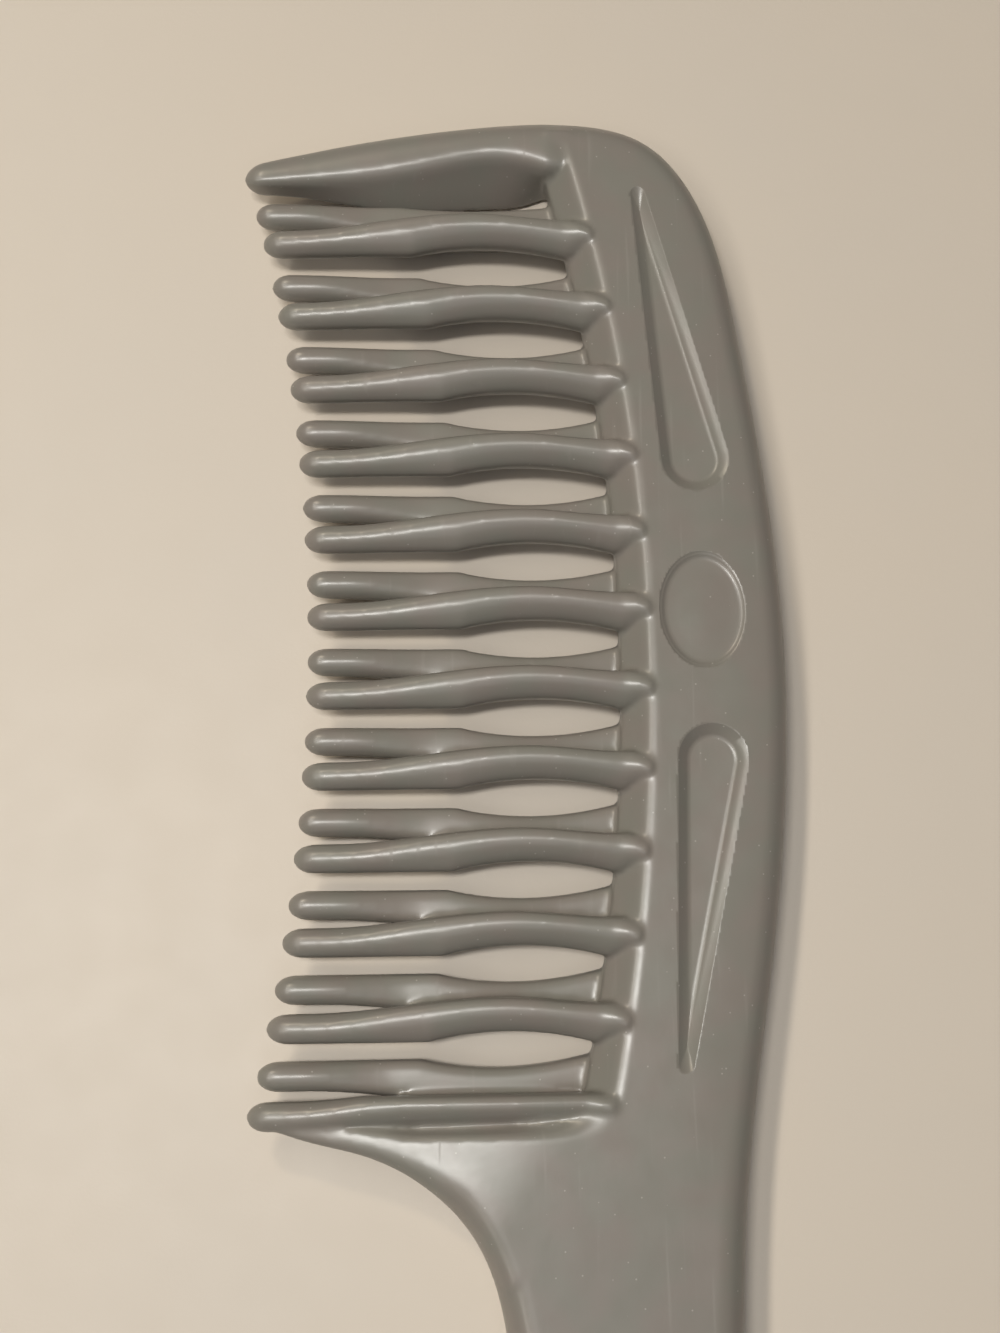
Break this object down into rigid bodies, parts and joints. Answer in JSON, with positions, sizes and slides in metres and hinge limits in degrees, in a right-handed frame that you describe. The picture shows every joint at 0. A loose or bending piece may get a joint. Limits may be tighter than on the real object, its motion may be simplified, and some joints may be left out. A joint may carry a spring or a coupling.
{
  "type": "detangling comb",
  "caption": "Handled plastic detangling comb with two staggered rows of curved teeth, a guard at each end, thumb scoops in the spine and a hang hole.",
  "frame": {"origin": "on the flat back face of the spine, in the middle of the head between the two thumb scoops", "axes": "+X towards the outer edge of the spine, away from the tooth tips; +Y along the comb towards the toe, with the handle at -Y; +Z out of the front face"},
  "size_m": [0.0629, 0.2194, 0.009],
  "materials": {
    "comb_plastic": "glossy moulded grey plastic with fine handling scratches"
  },
  "bodies": {
    "root": {"spine": "comb_plastic", "handle": "comb_plastic", "toe_guard": "comb_plastic", "heel_guard": "comb_plastic", "front_tooth_01": "comb_plastic", "front_tooth_02": "comb_plastic", "front_tooth_03": "comb_plastic", "front_tooth_04": "comb_plastic", "front_tooth_05": "comb_plastic", "front_tooth_06": "comb_plastic", "front_tooth_07": "comb_plastic", "front_tooth_08": "comb_plastic", "front_tooth_09": "comb_plastic", "front_tooth_10": "comb_plastic", "front_tooth_11": "comb_plastic", "rear_tooth_01": "comb_plastic", "rear_tooth_02": "comb_plastic", "rear_tooth_03": "comb_plastic", "rear_tooth_04": "comb_plastic", "rear_tooth_05": "comb_plastic", "rear_tooth_06": "comb_plastic", "rear_tooth_07": "comb_plastic", "rear_tooth_08": "comb_plastic", "rear_tooth_09": "comb_plastic", "rear_tooth_10": "comb_plastic", "rear_tooth_11": "comb_plastic", "rear_tooth_12": "comb_plastic"}
  },
  "joints": []
}
